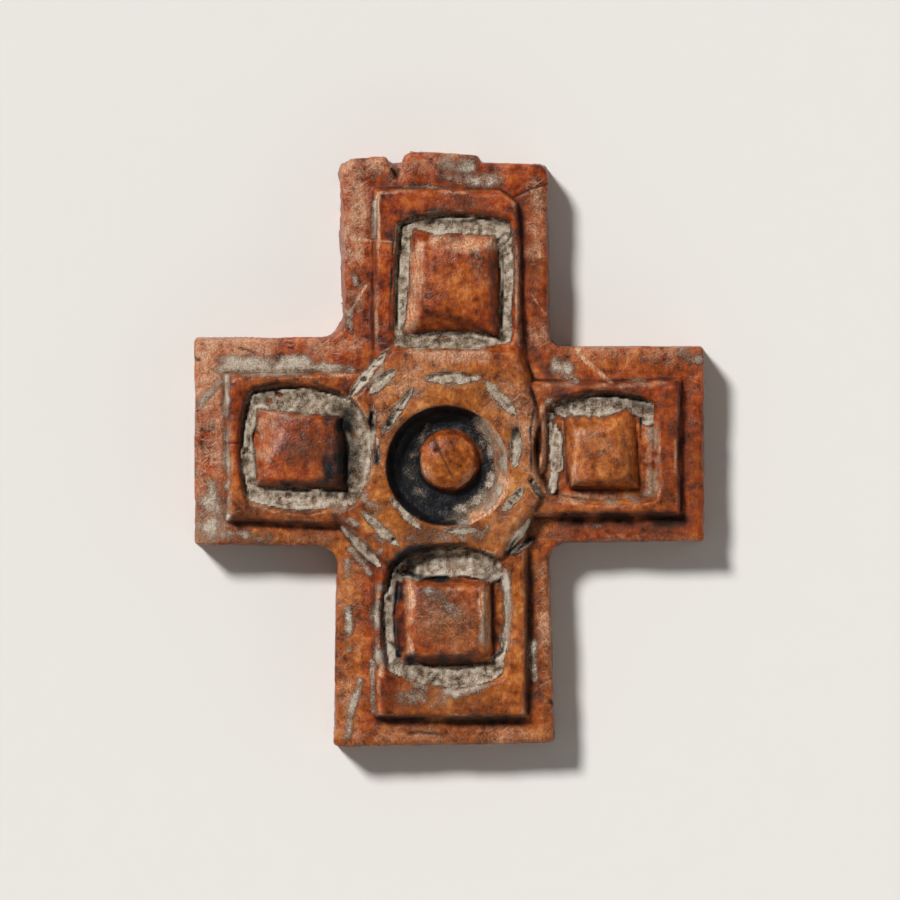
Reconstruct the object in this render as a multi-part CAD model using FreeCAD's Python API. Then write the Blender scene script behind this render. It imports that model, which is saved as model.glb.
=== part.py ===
import FreeCAD, Part
import math
import os
from collections import namedtuple
from FreeCAD import Vector

# Hand-carved cross, one piece of bone, lying on its flat back. Sizes are in mm.
# The origin is on the back, under the round boss in the middle. +Y runs up the cross to its
# broken end, +X to the right and +Z out of the carved face.

# Heights above the back
LEDGE_HEIGHT = 4.0          # border ledge round the whole cross
FIELD_RISE = 1.25           # raised cross above the ledge
DISC_RISE = 0.85            # middle disc above the raised cross
BOSS_RISE = 0.7             # square bosses above the raised cross
TRENCH_DEPTH = 1.15         # trenches round the bosses, below the raised cross
RING_DEPTH = 1.9            # ring channel, below the disc
MIDDLE_BOSS_DROP = 0.2      # top of the round boss, below the disc

# How far each arm reaches from the middle
RIGHT_REACH = 21.6
UPPER_REACH = 26.0
LEFT_REACH = 21.3
LOWER_REACH = 24.1

# Ledge: its worn edge, the lean of the slab's walls and the cove along the raised cross
EDGE_WEAR = 0.3
FIRST_WEAR = 0.1            # the steeper first step of the worn edge
WALL_LEAN = 0.1
CORNER_LEAN = 0.4           # more lean where the blank narrows beside the upper arm's root
COVE_DEPTH = 0.35
COVE_STEPS = ((0.2, 1), (0.65, 0.62), (1, 0), (1.05, -0.2))  # shares of half width, of depth

# Raised cross and disc: how far the walls spread to their foot, and the bevel at the top
FIELD_SPREAD = 0.3
FIELD_BEVEL = 0.12
DISC_SPREAD = 0.6
DISC_BEVEL = 0.3
BOSS_SPREAD = 0.25
BOSS_FOOT = 0.38            # upright foot of a square boss, above the trench floor
TRENCH_SLOPE = 0.45

# Disc, ring channel and round boss
DISC_RADIUS = 9.3
RING_RADIUS = 5.1
RING_WALL = 0.85            # width of the channel's sloping outer wall
RING_FOOT_RADIUS = 0.6      # rounding between that wall and the channel's floor
RING_LEFT = 0.12            # the channel sits a little left of and below the round boss
RING_BELOW = 0.45
MIDDLE_BOSS_RADIUS = 2.65
MIDDLE_BOSS_SHOULDER = 2.2
MIDDLE_BOSS_DOME = 0.6

# Broken notch in the upper end
NOTCH_LEFT = 4.5            # middle of the notch, left of the upright's axis
NOTCH_WIDTH = 1.0
NOTCH_DEPTH = 2.4           # on the carved face
NOTCH_BACK_DEPTH = 0.8
NOTCH_TIP = 0.4             # width of its low end on the carved face, as a share
CHIP_ALONG = 0.95           # corner knocked off the raised cross beside the broken end
CHIP_ACROSS = 1.3

# Corners of the eight-sided disc: bearing in degrees, and radius as a share of DISC_RADIUS
DISC_CORNERS = ((32, 0.94), (58, 1.16), (116, 1.115), (151, 1.035),
                (205, 1.115), (240, 1.075), (300, 0.99), (337, 0.89))
ARM_ROOT = 9.0              # where the arms' widths near the middle are measured

# An arm in its own directions: along runs outward, across to the left looking outward.
# Sides and borders are (near the middle, at the end). A four-cornered outline is given from
# the boss's own middle as outer right, outer left, inner left, inner right, and its bows are
# those of the outer, left, inner and right sides. Coves are half the cove's width along the
# right side, the end and the left side of the raised arm.
Arm = namedtuple("Arm", "bearing reach boss_setback left_side right_side left_border "
                        "right_border end_border foot foot_bows flat trench trench_bows coves")

ARMS = {
    "right": Arm(
        0, RIGHT_REACH, 8.7, (9.65, 9.65), (6.95, 6.85), (3.2, 3.25), (2.5, 2.6), 2.45,
        ((3.0, -2.3), (2.5, 4.4), (-3.1, 4.1), (-2.7, -2.3)), (0.1, -0.3, 0, 0),
        ((2.0, -1.55), (0.8, 2.7), (-2.2, 2.2), (-2.4, -1.6)),
        ((4.5, -3.3), (4.4, 5.0), (-4.4, 4.9), (-4.4, -3.1)), (0.35, 0.95, 1.4, 0.5),
        (1.0, 1.0, 0.75)),
    "upper": Arm(
        90, UPPER_REACH, 11.2, (8.9, 9.35), (8.65, 8.5), (2.95, 3.35), (2.6, 2.95), 3.55,
        ((4.1, -4.1), (4.5, 2.9), (-4.5, 3.9), (-4.4, -4.3)), (0, 0.1, -0.7, 0),
        ((2.6, -3.05), (2.4, 1.9), (-2.4, 1.9), (-4.0, -3.6)),
        ((5.4, -5.45), (5.1, 4.2), (-5.2, 4.4), (-5.0, -5.45)), (0.75, 0.2, 0.4, 0.35),
        (0.75, 0.75, 0.75)),
    "left": Arm(
        180, LEFT_REACH, 8.9, (7.3, 7.15), (10.45, 10.4), (2.2, 2.35), (3.25, 3.6), 3.0,
        ((3.6, -4.4), (3.7, 2.25), (-3.9, 2.4), (-3.4, -3.7)), (0, 0, 0.1, 0),
        ((0.2, -3.6), (3.2, 1.55), (-3.1, 1.6), (-3.0, -3.3)),
        ((4.3, -5.9), (4.6, 3.5), (-4.7, 3.5), (-4.3, -5.3)), (0.85, 0.9, 1.6, 0.85),
        (0.75, 0.75, 0.85)),
    "lower": Arm(
        270, LOWER_REACH, 10.75, (8.65, 9.1), (9.4, 9.65), (2.25, 2.65), (3.5, 3.8), 2.8,
        ((3.7, -4.2), (3.35, 3.75), (-3.4, 3.6), (-3.65, -3.7)), (0, 0, -0.3, 0.2),
        ((2.75, -2.45), (2.6, 2.95), (-2.9, 2.95), (-2.9, -2.4)),
        ((4.25, -5.2), (4.75, 4.7), (-5.05, 4.5), (-4.75, -5.05)), (1.3, 0.6, 1.4, 0.7),
        (0.75, 0.85, 0.9)),
}

# The ends of the arms, seen looking outward: (across, back from the reach) from right to left,
# with a corner radius each. The upper end is broken into steps.
ENDS = {
    "right": ((-6.85, 0.0, 0.35), (9.65, 0.05, 0.35)),
    "upper": ((-8.5, 1.05, 0.8), (-2.95, 0.9, 0.1), (-2.6, 0.35, 0.1), (3.1, 0.0, 0.2),
              (3.9, 0.5, 0.1), (4.6, 0.4, 0.1), (9.35, 0.6, 1.4)),
    "left": ((-10.4, 0.0, 0.35), (7.15, 0.05, 0.35)),
    "lower": ((-9.65, 0.0, 0.45), (9.1, 0.35, 0.45)),
}
INNER_RADII = {"right": 1.1, "upper": 1.85, "left": 1.65, "lower": 1.65}

# Slots and gouges cut into the disc and its rim:
# middle x, y, length, width, bearing in degrees, depth below the disc
GOUGES = (
    (0.4, 6.85, 5.0, 1.1, 0, 0.7),           # slots in the top of the disc, from the upper one
    (4.4, 5.2, 4.0, 0.95, -47, 0.7),         # round to the right
    (5.65, 1.0, 3.5, 1.05, 88, 0.7),
    (5.5, -3.2, 2.8, 0.85, 49, 0.6),
    (1.1, -5.8, 3.1, 0.65, 0, 0.6),
    (-3.5, -4.4, 3.8, 0.95, -46, 0.7),
    (-5.85, 0.9, 2.4, 0.4, 90, 0.5),
    (-4.15, 4.15, 5.0, 0.8, 56, 0.8),
    (-5.6, -5.65, 4.5, 1.0, -43, 0.9),       # gouges at the rim
    (-5.4, 6.6, 3.0, 1.1, 43, 0.8),
    (5.9, -6.25, 3.7, 0.7, 54, 0.9),
    (6.2, -7.2, 2.3, 0.7, 31, 1.4),
    (-6.7, 7.1, 5.6, 0.95, 50, 1.5),
    (-7.15, -7.25, 5.2, 0.95, -45, 1.8),
    (-6.3, 2.5, 4.4, 0.8, 86, 1.2),
    (7.4, -2.3, 2.2, 0.6, -56, 1.8),
)
GOUGE_BLUNT = 0.4           # blunt end of a gouge, as a share of its width
KEEL_WIDTH = 0.2            # bottom of a gouge, as shares of its width and length
KEEL_LENGTH = 0.44

# Ridge left standing between two strokes of the right arm's inner trench:
# middle x, y, length, width, bearing, top below the raised cross
LEAF_RIDGE = (7.85, 1.9, 7.0, 1.1, 88, 0.35)
RIDGE_CREST = 0.3           # width of its crest, as a share

# Heights worked out from the sizes above
FIELD_HEIGHT = LEDGE_HEIGHT + FIELD_RISE
DISC_HEIGHT = FIELD_HEIGHT + DISC_RISE
BOSS_HEIGHT = FIELD_HEIGHT + BOSS_RISE
TRENCH_FLOOR = FIELD_HEIGHT - TRENCH_DEPTH
RING_FLOOR = DISC_HEIGHT - RING_DEPTH
SINK = 0.4                  # how deep a raised form is rooted in the one below
CLEAR = 0.5                 # how far a cutter stands above the face that it cuts


def turned(along, across, bearing):
    """Point of an arm's own directions, turned to the arm's bearing."""
    angle = math.radians(bearing)
    return (along * math.cos(angle) - across * math.sin(angle),
            along * math.sin(angle) + across * math.cos(angle))


def meeting(a, b, c, d):
    """Where the line through a and b meets the line through c and d."""
    ux, uy = b[0] - a[0], b[1] - a[1]
    vx, vy = d[0] - c[0], d[1] - c[1]
    share = ((c[0] - a[0]) * vy - (c[1] - a[1]) * vx) / (ux * vy - uy * vx)
    return (a[0] + ux * share, a[1] + uy * share)


def moved_out(a, b, distance):
    """Side a to b of an anticlockwise outline, moved outward."""
    length = math.hypot(b[0] - a[0], b[1] - a[1])
    shift = ((b[1] - a[1]) * distance / length, (a[0] - b[0]) * distance / length)
    return (a[0] + shift[0], a[1] + shift[1]), (b[0] + shift[0], b[1] + shift[1])


def grown(corners, distance):
    """Outline with every side moved outward by one distance, or by one for each side."""
    count = len(corners)
    distances = distance if isinstance(distance, (list, tuple)) else [distance] * count
    sides = [moved_out(corners[i], corners[(i + 1) % count], distances[i]) for i in range(count)]
    return [meeting(*sides[i - 1], *sides[i]) for i in range(count)]


def bowed_wire(corners, bows, z):
    """Closed wire of straight sides and of arcs that bow outward."""
    edges = []
    for i, (a, b) in enumerate(zip(corners, corners[1:] + corners[:1])):
        start, end = Vector(*a, z), Vector(*b, z)
        if bows[i]:
            side = (end - start).normalize()
            middle = (start + end) * 0.5 + Vector(side.y, -side.x, 0) * bows[i]
            edges.append(Part.Arc(start, middle, end).toShape())
        else:
            edges.append(line(start, end))
    return Part.Wire(edges)


def rounded_corner(before, corner, after, radius):
    """Start, middle and end of the arc that rounds a corner."""
    back = (before - corner).normalize()
    ahead = (after - corner).normalize()
    half = back.getAngle(ahead) / 2
    reach = radius / math.tan(half)
    inward = (back + ahead).normalize()
    middle = corner + inward * (radius / math.sin(half) - radius)
    return corner + back * reach, middle, corner + ahead * reach


def rounded_wire(corners, radii, z):
    """Closed wire of straight sides with an arc of its own radius at each corner."""
    points = [Vector(*corner, z) for corner in corners]
    around = zip(points[-1:] + points[:-1], points, points[1:] + points[:1], radii)
    arcs = [rounded_corner(*row) for row in around]
    edges = []
    for arc, following in zip(arcs, arcs[1:] + arcs[:1]):
        edges.append(Part.Arc(*arc).toShape())
        edges.append(line(arc[2], following[0]))
    return Part.Wire(edges)


def line(a, b):
    """Straight edge between two points."""
    return Part.LineSegment(a, b).toShape()


def straight_loft(wires):
    """Solid through the wires, with straight lines from each to the next."""
    return Part.makeLoft(wires, True, True)


def block(corners, bevel, spread, foot, top):
    """Raised form with walls that spread to the foot, a root below it and a bevelled top."""
    flat_sides = [0] * len(corners)
    return straight_loft([
        bowed_wire(grown(corners, spread), flat_sides, foot - SINK),
        bowed_wire(grown(corners, spread), flat_sides, foot),
        bowed_wire(grown(corners, 0), flat_sides, top - bevel),
        bowed_wire(grown(corners, -bevel), flat_sides, top)])


def arm_side(arm, widths, sign):
    """Two points on a side of an arm, near the middle and at the end."""
    return (turned(ARM_ROOT, sign * widths[0], arm.bearing),
            turned(arm.reach, sign * widths[1], arm.bearing))


def cross_outline():
    """Corners, corner radii and wall leans of the slab, anticlockwise from the right arm."""
    corners, radii, leans = [], [], []
    names = list(ARMS)
    for name, following in zip(names, names[1:] + names[:1]):
        arm, after = ARMS[name], ARMS[following]
        for across, back, radius in ENDS[name]:
            corners.append(turned(arm.reach - back, across, arm.bearing))
            radii.append(radius)
            leans.append(WALL_LEAN)
        corners.append(meeting(*arm_side(arm, arm.left_side, 1),
                               *arm_side(after, after.right_side, -1)))
        radii.append(INNER_RADII[name])
        leans.append(WALL_LEAN)
    narrowed = len(ENDS["right"]) + len(ENDS["upper"])
    leans[narrowed] = CORNER_LEAN
    return corners, radii, leans


def slab():
    """Blank of the cross up to the ledge, with leaning walls and a worn front edge."""
    corners, radii, leans = cross_outline()
    steps = ((0, 0, 0), (LEDGE_HEIGHT - EDGE_WEAR, 0, 1),
             (LEDGE_HEIGHT - FIRST_WEAR, FIRST_WEAR, 1), (LEDGE_HEIGHT, EDGE_WEAR, 1))
    wires = []
    for z, wear, lean in steps:
        inset = grown(corners, [-wear - lean * share for share in leans])
        wires.append(rounded_wire(inset, radii, z))
    return straight_loft(wires)


def field_corners(arm):
    """Top outline of the raised cross on one arm, from the middle of the cross outward."""
    left = arm_side(arm, [s - b for s, b in zip(arm.left_side, arm.left_border)], 1)
    right = arm_side(arm, [s - b for s, b in zip(arm.right_side, arm.right_border)], -1)
    end = arm.reach - arm.end_border
    end_line = turned(end, -1, arm.bearing), turned(end, 1, arm.bearing)
    root_line = turned(0, -1, arm.bearing), turned(0, 1, arm.bearing)
    return [meeting(*right, *end_line), meeting(*left, *end_line),
            meeting(*left, *root_line), meeting(*right, *root_line)]


def raised_cross():
    """Four raised arms that meet in the middle, with the upper right corner knocked off."""
    arms = [block(field_corners(arm), FIELD_BEVEL, FIELD_SPREAD, LEDGE_HEIGHT, FIELD_HEIGHT)
            for arm in ARMS.values()]
    corner = Vector(*field_corners(ARMS["upper"])[0], LEDGE_HEIGHT)
    far = 3 * CHIP_ACROSS
    chip = Part.Face(Part.makePolygon([
        corner + Vector(-CHIP_ACROSS - far, far * CHIP_ALONG / CHIP_ACROSS, 0),
        corner + Vector(far, -CHIP_ALONG - far * CHIP_ALONG / CHIP_ACROSS, 0),
        corner + Vector(far, far, 0),
        corner + Vector(-CHIP_ACROSS - far, far * CHIP_ALONG / CHIP_ACROSS, 0)]))
    return arms[0].fuse(arms[1:]).cut(chip.extrude(Vector(0, 0, FIELD_RISE + CLEAR)))


def cove():
    """Dished channel that runs along the foot of the raised cross, in three steps each side."""
    corners, half_widths = [], []
    arms = list(ARMS.values())
    for arm, after in zip(arms, arms[1:] + arms[:1]):
        here, there = field_corners(arm), field_corners(after)
        corners += [here[0], here[1], meeting(here[1], here[2], there[3], there[0])]
        half_widths += [arm.coves[1], arm.coves[2], after.coves[0]]
    path = grown(corners, [FIELD_SPREAD + half for half in half_widths])
    flat_sides = [0] * len(path)
    walls = []
    for sign in (1, -1):
        wires = []
        for share, depth in COVE_STEPS:
            reach = grown(path, [sign * share * half for half in half_widths])
            wires.append(bowed_wire(reach, flat_sides, LEDGE_HEIGHT - depth * COVE_DEPTH))
        walls.append(straight_loft(wires))
    return walls[0].cut(walls[1])


def disc():
    """Eight-sided disc with bevelled rim that stands over the crossing."""
    corners = []
    for bearing, share in DISC_CORNERS:
        corners.append(turned(DISC_RADIUS * share, 0, bearing))
    return block(corners, DISC_BEVEL, DISC_SPREAD, LEDGE_HEIGHT, DISC_HEIGHT)


def outline_on_arm(arm, outline):
    """Four-cornered outline round an arm's boss, in the frame of the cross."""
    middle = arm.reach - arm.boss_setback
    return [turned(middle + along, across, arm.bearing) for along, across in outline]


def trench_cutter(arm):
    """Space of the four bowed gouge strokes round a boss, with the boss still to be added."""
    rim = outline_on_arm(arm, arm.trench)
    return straight_loft([
        bowed_wire(grown(rim, -TRENCH_SLOPE), arm.trench_bows, TRENCH_FLOOR),
        bowed_wire(grown(rim, 0), arm.trench_bows, FIELD_HEIGHT),
        bowed_wire(grown(rim, 0), arm.trench_bows, DISC_HEIGHT + CLEAR)])


def square_boss(arm):
    """Cushion-like boss with four facets that rise from its foot to its flat."""
    foot = outline_on_arm(arm, arm.foot)
    flat = outline_on_arm(arm, arm.flat)
    return straight_loft([
        bowed_wire(grown(foot, BOSS_SPREAD), arm.foot_bows, TRENCH_FLOOR - SINK),
        bowed_wire(grown(foot, 0), arm.foot_bows, TRENCH_FLOOR + BOSS_FOOT),
        bowed_wire(flat, arm.foot_bows, BOSS_HEIGHT)])


def turned_solid(profile, x, y):
    """Solid turned round an upright axis, from a closed list of edges."""
    face = Part.Face(Part.Wire(profile))
    solid = face.revolve(Vector(0, 0, 0), Vector(0, 0, 1), 360)
    solid.translate(Vector(x, y, 0))
    return solid


def ring_bowl():
    """Round hollow of the ring channel, with a sloping wall and a rounded foot."""
    floor, foot = Vector(0, 0, RING_FLOOR), Vector(RING_RADIUS - RING_WALL, 0, RING_FLOOR)
    rim, above = Vector(RING_RADIUS, 0, DISC_HEIGHT), Vector(RING_RADIUS, 0, DISC_HEIGHT + CLEAR)
    axis = Vector(0, 0, DISC_HEIGHT + CLEAR)
    bend = rounded_corner(floor, foot, rim, RING_FOOT_RADIUS)
    edges = [line(floor, bend[0]), Part.Arc(*bend).toShape(), line(bend[2], rim),
             line(rim, above), line(above, axis), line(axis, floor)]
    return turned_solid(edges, -RING_LEFT, -RING_BELOW)


def middle_boss():
    """Round domed boss that stands in the ring channel."""
    top = DISC_HEIGHT - MIDDLE_BOSS_DROP
    shoulder = top - MIDDLE_BOSS_DOME
    dome_radius = (MIDDLE_BOSS_SHOULDER ** 2 + MIDDLE_BOSS_DOME ** 2) / (2 * MIDDLE_BOSS_DOME)
    half_way = MIDDLE_BOSS_SHOULDER / 2
    low, foot = Vector(0, 0, RING_FLOOR - SINK), Vector(MIDDLE_BOSS_RADIUS, 0, RING_FLOOR - SINK)
    edge, crown = Vector(MIDDLE_BOSS_SHOULDER, 0, shoulder), Vector(0, 0, top)
    drop = dome_radius - math.sqrt(dome_radius ** 2 - half_way ** 2)
    on_dome = Vector(half_way, 0, top - drop)
    edges = [line(low, foot), line(foot, edge), Part.Arc(edge, on_dome, crown).toShape(),
             line(crown, low)]
    return turned_solid(edges, 0, 0)


def leaf(x, y, length, width, bearing, z):
    """Leaf-shaped wire with two bowed sides and blunt ends."""
    half, blunt = length / 2, width * GOUGE_BLUNT / 2
    corners = []
    for along, across in ((-half, -blunt), (half, -blunt), (half, blunt), (-half, blunt)):
        step = turned(along, across, bearing)
        corners.append((x + step[0], y + step[1]))
    bow = width / 2 - blunt
    return bowed_wire(corners, [bow, 0, bow, 0], z)


def gouge(x, y, length, width, bearing, depth):
    """Leaf-shaped cut of one stroke, which narrows to a short keel at its depth."""
    keel = leaf(x, y, length * KEEL_LENGTH, width * KEEL_WIDTH, bearing, DISC_HEIGHT - depth)
    return straight_loft([keel, leaf(x, y, length, width, bearing, DISC_HEIGHT),
                          leaf(x, y, length, width, bearing, DISC_HEIGHT + CLEAR)])


def leaf_ridge():
    """Narrow leaf-shaped ridge that stands in the inner trench of the right arm."""
    x, y, length, width, bearing, drop = LEAF_RIDGE
    return straight_loft([
        leaf(x, y, length, width, bearing, TRENCH_FLOOR - SINK),
        leaf(x, y, length, width, bearing, TRENCH_FLOOR),
        leaf(x, y, length, width * RIDGE_CREST, bearing, FIELD_HEIGHT - drop)])


def broken_notch():
    """Notch broken out of the upper end, which runs further down on the carved face."""
    reach = ARMS["upper"].reach
    left, right = -NOTCH_LEFT - NOTCH_WIDTH / 2, -NOTCH_LEFT + NOTCH_WIDTH / 2
    wires = []
    for z, depth, tip in ((-CLEAR, NOTCH_BACK_DEPTH, 1),
                          (LEDGE_HEIGHT + CLEAR, NOTCH_DEPTH, NOTCH_TIP)):
        low = reach - depth
        corners = [(left, low), (left + NOTCH_WIDTH * tip, low),
                   (right, reach + CLEAR), (left, reach + CLEAR)]
        wires.append(bowed_wire(corners, [0] * len(corners), z))
    return straight_loft(wires)


def bone_cross():
    """The whole cross, built up in the order in which its levels were cut."""
    body = slab().cut(broken_notch())
    body = body.fuse(raised_cross())
    body = body.cut(cove())
    body = body.fuse(disc())
    body = body.cut([trench_cutter(arm) for arm in ARMS.values()])
    body = body.fuse([square_boss(arm) for arm in ARMS.values()] + [leaf_ridge()])
    body = body.cut([gouge(*row) for row in GOUGES])
    body = body.cut(ring_bowl()).fuse(middle_boss())
    return body.removeSplitter()


os.makedirs("parts", exist_ok=True)
cross = bone_cross()
cross.exportStep("parts/bone_cross.step")
box = cross.optimalBoundingBox()
print("bone_cross", "solids", len(cross.Solids), "valid", cross.isValid(),
      "volume mm3", round(cross.Volume, 1), "box",
      [round(value, 2) for value in (box.XMin, box.YMin, box.ZMin, box.XMax, box.YMax, box.ZMax)])
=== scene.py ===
# %% [markdown]
# # A hand-carved bone cross
# The real cross was cut from one thick piece of bone: a flat slab, a raised cross on it, four
# cushion-shaped bosses in gouged trenches and an eight-sided disc with a ring channel. It is old,
# worn at every edge and still has soil in its grooves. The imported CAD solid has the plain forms.
# Here the same forms become one fine surface, so that strokes, wear and soil can be part of the
# shape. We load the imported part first, because its box is the limit for all that follows.

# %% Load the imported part
import bpy
import math
import numpy as np
from mathutils.geometry import delaunay_2d_cdt
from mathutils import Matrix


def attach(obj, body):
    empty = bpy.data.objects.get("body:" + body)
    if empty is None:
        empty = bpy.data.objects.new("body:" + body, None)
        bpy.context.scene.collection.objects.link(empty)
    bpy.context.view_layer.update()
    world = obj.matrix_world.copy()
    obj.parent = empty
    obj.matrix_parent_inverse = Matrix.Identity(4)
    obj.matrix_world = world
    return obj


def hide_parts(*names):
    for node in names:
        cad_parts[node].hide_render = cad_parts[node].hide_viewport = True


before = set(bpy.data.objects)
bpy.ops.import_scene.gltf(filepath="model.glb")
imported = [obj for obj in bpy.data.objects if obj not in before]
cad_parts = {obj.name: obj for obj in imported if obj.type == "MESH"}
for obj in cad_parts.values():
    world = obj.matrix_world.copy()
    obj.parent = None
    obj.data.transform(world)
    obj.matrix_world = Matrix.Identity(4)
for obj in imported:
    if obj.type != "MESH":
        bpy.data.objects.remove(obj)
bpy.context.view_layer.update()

# %% [markdown]
# ## A sheet of heights
# A carving in low relief is seen and cut from one side, so a height for each point of a fine grid
# can describe all of it. A height above the flat back is easy to combine: a raised form takes the
# higher of two heights, and a cut takes the lower. Lengths here are in millimetres, as a carver
# would give them, and become metres only when the mesh is made.

# %% The grid
STEP = 0.13                 # distance between neighbouring points, finer than any tool stroke
LEFT, RIGHT, LOW, HIGH = -22.0, 22.2, -24.8, 26.8
grid_x, grid_y = np.meshgrid(np.arange(LEFT, RIGHT, STEP), np.arange(LOW, HIGH, STEP))
print("grid of", grid_x.shape, "points")


# %% Helpers that soften, blur and scatter
def soft_min(a, b, width):
    """Lower of a and b, with the crease between them rounded.

    It is min(a, b) - width*ln(1 + e^(-|a - b|/width)).
    """
    return np.minimum(a, b) - width * np.log1p(np.exp(-np.abs(a - b) / width))


def soft_max(a, b, width):
    """Higher of a and b, with the crease between them rounded."""
    return -soft_min(-a, -b, width)


def ease(values, low, high):
    """Smooth step from 0 at low to 1 at high: 3t^2 - 2t^3."""
    t = np.clip((values - low) / (high - low), 0, 1)
    return t * t * (3 - 2 * t)


wave_x = np.fft.rfftfreq(grid_x.shape[1], STEP)
wave_y = np.fft.fftfreq(grid_x.shape[0], STEP)[:, None]


def blur(field, across, along=None):
    """Field averaged with a bell curve, across mm wide in x and along mm wide in y."""
    along = across if along is None else along
    bell = np.exp(-2 * (math.pi ** 2) * ((across * wave_x) ** 2 + (along * wave_y) ** 2))
    return np.fft.irfft2(np.fft.rfft2(field) * bell, s=field.shape)


def cloud(seed, across, along=None):
    """Blurred random dots with a mean of 0 and a spread of 1."""
    dots = blur(np.random.default_rng(seed).standard_normal(grid_x.shape), across, along)
    return (dots - dots.mean()) / dots.std()


def clouds(*rows):
    """Sum of several clouds, each given as its height, seed and size in mm."""
    return sum(tall * cloud(seed, *size) for tall, seed, *size in rows)


trial = cloud(1, 0.5)
print("cloud of 0.5 mm, lowest and highest", trial.min().round(1), trial.max().round(1))

# %% [markdown]
# ## The carver's sizes
# The scene can't read the part's source, so the sizes that shape the relief are given again, with
# the same names. Each arm has its own sizes, because no two arms of the real cross are alike.

# %% Sizes of the relief, in mm
LEDGE_HEIGHT = 4.0
FIELD_HEIGHT = 5.25
DISC_HEIGHT = 6.1
BOSS_HEIGHT = 5.95
TRENCH_FLOOR = 4.1
BOSS_FOOT = TRENCH_FLOOR + 0.38
BOSS_DOMING = 0.013         # fall of a square boss's top, per mm squared from its crown
RING_FLOOR = 4.2
EDGE_WEAR = 0.3
WALL_LEAN = 0.1
CORNER_LEAN = 0.4
FIELD_SPREAD, FIELD_BEVEL = 0.3, 0.12
DISC_SPREAD, DISC_BEVEL = 0.6, 0.3
COVE_DEPTH = 0.35
TRENCH_SLOPE, BOSS_SPREAD = 0.45, 0.25
DISC_RADIUS, RING_RADIUS, RING_WALL = 9.3, 5.1, 0.85
RING_X, RING_Y = -0.12, -0.45
BOSS_RADIUS, BOSS_SHOULDER, BOSS_DOME, BOSS_DROP = 2.65, 2.2, 0.6, 0.2
CHIP_ALONG, CHIP_ACROSS = 0.95, 1.3
ARM_ROOT = 9.0
CREASE, BOSS_CREASE, TRENCH_CREASE, DISC_CREASE = 0.03, 0.05, 0.08, 0.12    # how round they are
SWAY = 0.05                 # how far a cut wanders from its line
CROWN_SHIFT = (0.7, -0.8)   # from the middle of a square boss to the top of its doming
RIDGE_DROP = 0.35           # the leaf-shaped ridge ends this far below the field
NOTCH_HOLLOW = 0.9          # depth of the hollow below the broken notch
DISC_CORNERS = ((32, 0.94), (58, 1.16), (116, 1.115), (151, 1.035),
                (205, 1.115), (240, 1.075), (300, 0.99), (337, 0.89))

# Each arm: sides and borders are (near the middle, at the end), outlines are round the boss's
# middle as (along, across) for outer right, outer left, inner left and inner right, and coves
# are half the cove's width on the right side, the end and the left side.
ARMS = {
    "right": dict(
        bearing=0, reach=21.6, setback=8.7, left=(9.65, 9.65), right=(6.95, 6.85),
        left_border=(3.2, 3.25), right_border=(2.5, 2.6), end_border=2.45,
        foot=((3.0, -2.3), (2.5, 4.4), (-3.1, 4.1), (-2.7, -2.3)), foot_bows=(0.1, -0.3, 0, 0),
        flat=((2.0, -1.55), (0.8, 2.7), (-2.2, 2.2), (-2.4, -1.6)),
        trench=((4.5, -3.3), (4.4, 5.0), (-4.4, 4.9), (-4.4, -3.1)),
        trench_bows=(0.35, 0.95, 1.4, 0.5), coves=(1.0, 1.0, 0.75)),
    "upper": dict(
        bearing=90, reach=26.0, setback=11.2, left=(8.9, 9.35), right=(8.65, 8.5),
        left_border=(2.95, 3.35), right_border=(2.6, 2.95), end_border=3.55,
        foot=((4.1, -4.1), (4.5, 2.9), (-4.5, 3.9), (-4.4, -4.3)), foot_bows=(0, 0.1, -0.7, 0),
        flat=((2.6, -3.05), (2.4, 1.9), (-2.4, 1.9), (-4.0, -3.6)),
        trench=((5.4, -5.45), (5.1, 4.2), (-5.2, 4.4), (-5.0, -5.45)),
        trench_bows=(0.75, 0.2, 0.4, 0.35), coves=(0.75, 0.75, 0.75)),
    "left": dict(
        bearing=180, reach=21.3, setback=8.9, left=(7.3, 7.15), right=(10.45, 10.4),
        left_border=(2.2, 2.35), right_border=(3.25, 3.6), end_border=3.0,
        foot=((3.6, -4.4), (3.7, 2.25), (-3.9, 2.4), (-3.4, -3.7)), foot_bows=(0, 0, 0.1, 0),
        flat=((0.2, -3.6), (3.2, 1.55), (-3.1, 1.6), (-3.0, -3.3)),
        trench=((4.3, -5.9), (4.6, 3.5), (-4.7, 3.5), (-4.3, -5.3)),
        trench_bows=(0.85, 0.9, 1.6, 0.85), coves=(0.75, 0.75, 0.85)),
    "lower": dict(
        bearing=270, reach=24.1, setback=10.75, left=(8.65, 9.1), right=(9.4, 9.65),
        left_border=(2.25, 2.65), right_border=(3.5, 3.8), end_border=2.8,
        foot=((3.7, -4.2), (3.35, 3.75), (-3.4, 3.6), (-3.65, -3.7)), foot_bows=(0, 0, -0.3, 0.2),
        flat=((2.75, -2.45), (2.6, 2.95), (-2.9, 2.95), (-2.9, -2.4)),
        trench=((4.25, -5.2), (4.75, 4.7), (-5.05, 4.5), (-4.75, -5.05)),
        trench_bows=(1.3, 0.6, 1.4, 0.7), coves=(0.75, 0.85, 0.9)),
}
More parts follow.
